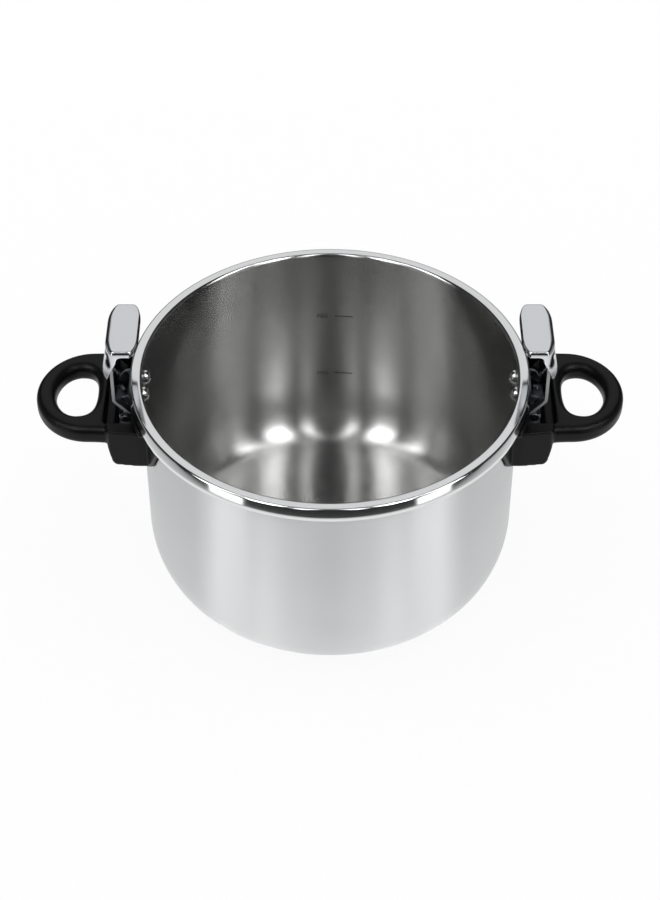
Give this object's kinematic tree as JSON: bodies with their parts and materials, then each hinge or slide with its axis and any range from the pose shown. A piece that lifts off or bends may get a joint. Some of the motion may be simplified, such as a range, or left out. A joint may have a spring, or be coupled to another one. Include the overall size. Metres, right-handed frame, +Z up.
{
  "type": "pressure cooker pot with side clamps",
  "caption": "Open steel pressure cooker pot with rolled rim, sandwich base, black loop side handles and a sprung lid clamp on each side.",
  "frame": {"origin": "middle of the base's underside, on the surface that the pot stands on", "axes": "+X towards the right handle, +Y towards the back, +Z up"},
  "size_m": [0.378, 0.2576, 0.197],
  "materials": {
    "pot_steel": "outside mirror polished, inside brushed round",
    "core_aluminium": "plain",
    "clamp_chrome": "polished chrome plate",
    "zinced_steel": "zinc plated",
    "rivet_steel": "polished",
    "phenolic": "moulded, satin"
  },
  "bodies": {
    "pot": {"pot_body": "pot_steel", "base_core": "core_aluminium", "base_capsule": "pot_steel", "left_bracket": "zinced_steel", "left_wall_rivet_front": "rivet_steel", "left_wall_rivet_rear": "rivet_steel", "left_handle": "phenolic", "left_handle_screw_front": "zinced_steel", "left_handle_screw_rear": "zinced_steel", "left_pivot_pin": "zinced_steel", "left_pin_clip": "zinced_steel", "left_clamp_spring": "zinced_steel", "right_bracket": "zinced_steel", "right_wall_rivet_front": "rivet_steel", "right_wall_rivet_rear": "rivet_steel", "right_handle": "phenolic", "right_handle_screw_front": "zinced_steel", "right_handle_screw_rear": "zinced_steel", "right_pivot_pin": "zinced_steel", "right_pin_clip": "zinced_steel", "right_clamp_spring": "zinced_steel"},
    "left_clamp": {"left_clamp_hook": "clamp_chrome", "left_clamp_cap": "clamp_chrome", "left_cap_rivet_front": "clamp_chrome", "left_cap_rivet_rear": "clamp_chrome"},
    "right_clamp": {"right_clamp_hook": "clamp_chrome", "right_clamp_cap": "clamp_chrome", "right_cap_rivet_front": "clamp_chrome", "right_cap_rivet_rear": "clamp_chrome"}
  },
  "joints": [
    {"name": "left_clamp_swing", "type": "hinge", "parent": "pot", "child": "left_clamp", "pos_m": [-0.1303, 0, 0.1408], "axis": [0, -1, 0], "range_deg": [0, 35], "stiffness_Nm_per_rad": 0.25, "springref_deg": -34.38, "deforming": ["left_clamp_spring"]},
    {"name": "right_clamp_swing", "type": "hinge", "parent": "pot", "child": "right_clamp", "pos_m": [0.1303, 0, 0.1408], "axis": [0, 1, 0], "range_deg": [0, 35], "stiffness_Nm_per_rad": 0.25, "springref_deg": -34.38, "deforming": ["right_clamp_spring"]}
  ]
}
